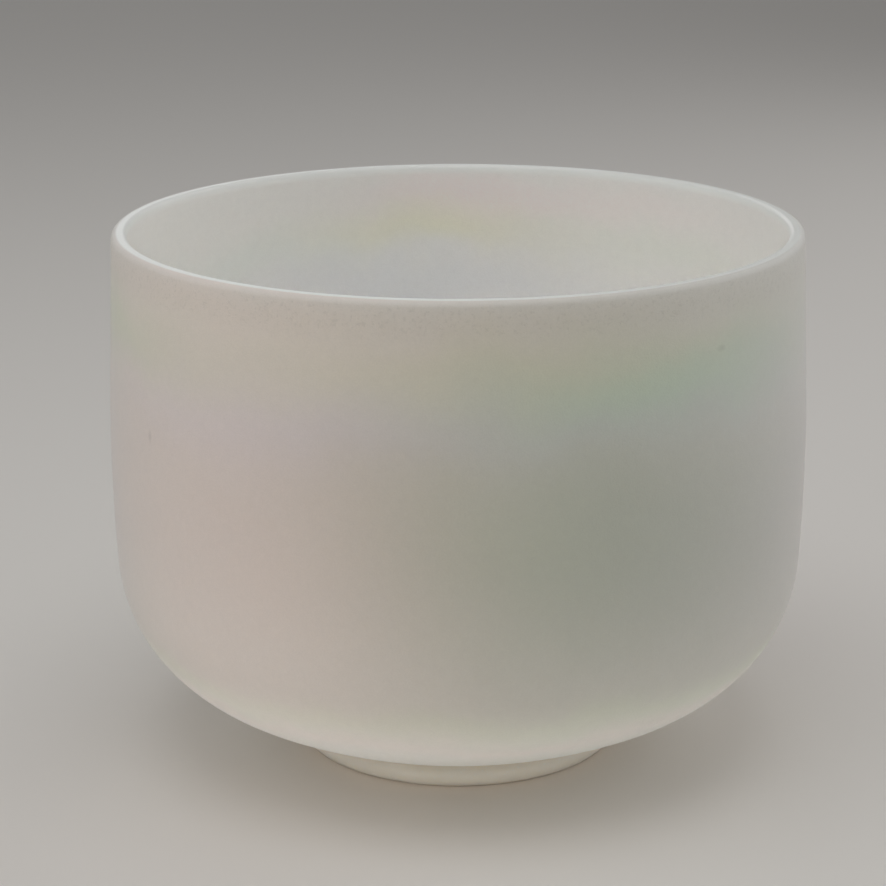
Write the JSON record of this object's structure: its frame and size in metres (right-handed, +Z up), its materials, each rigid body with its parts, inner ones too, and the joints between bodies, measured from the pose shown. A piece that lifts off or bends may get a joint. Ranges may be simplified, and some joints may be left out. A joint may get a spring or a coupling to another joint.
{
  "type": "singing bowl",
  "caption": "Frosted quartz singing bowl with a near-cylindrical wall, rounded shoulder and dished bottom, standing on a loose translucent silicone ring.",
  "frame": {"origin": "on the bowl's axis, at the level surface that the support ring lies on", "axes": "+Z up along the bowl's axis of revolution; the part looks the same from every side, so X and Y are free"},
  "size_m": [0.2048, 0.2048, 0.1567],
  "materials": {
    "frosted_quartz": "matte",
    "amber_silicone": "satin"
  },
  "bodies": {
    "ring": {"support_ring": "amber_silicone"},
    "bowl": {"bowl": "frosted_quartz"}
  },
  "joints": [
    {"name": "bowl_lift", "type": "slide", "parent": "ring", "child": "bowl", "axis": [0, 0, 1], "range_m": [0, 0.2]}
  ]
}
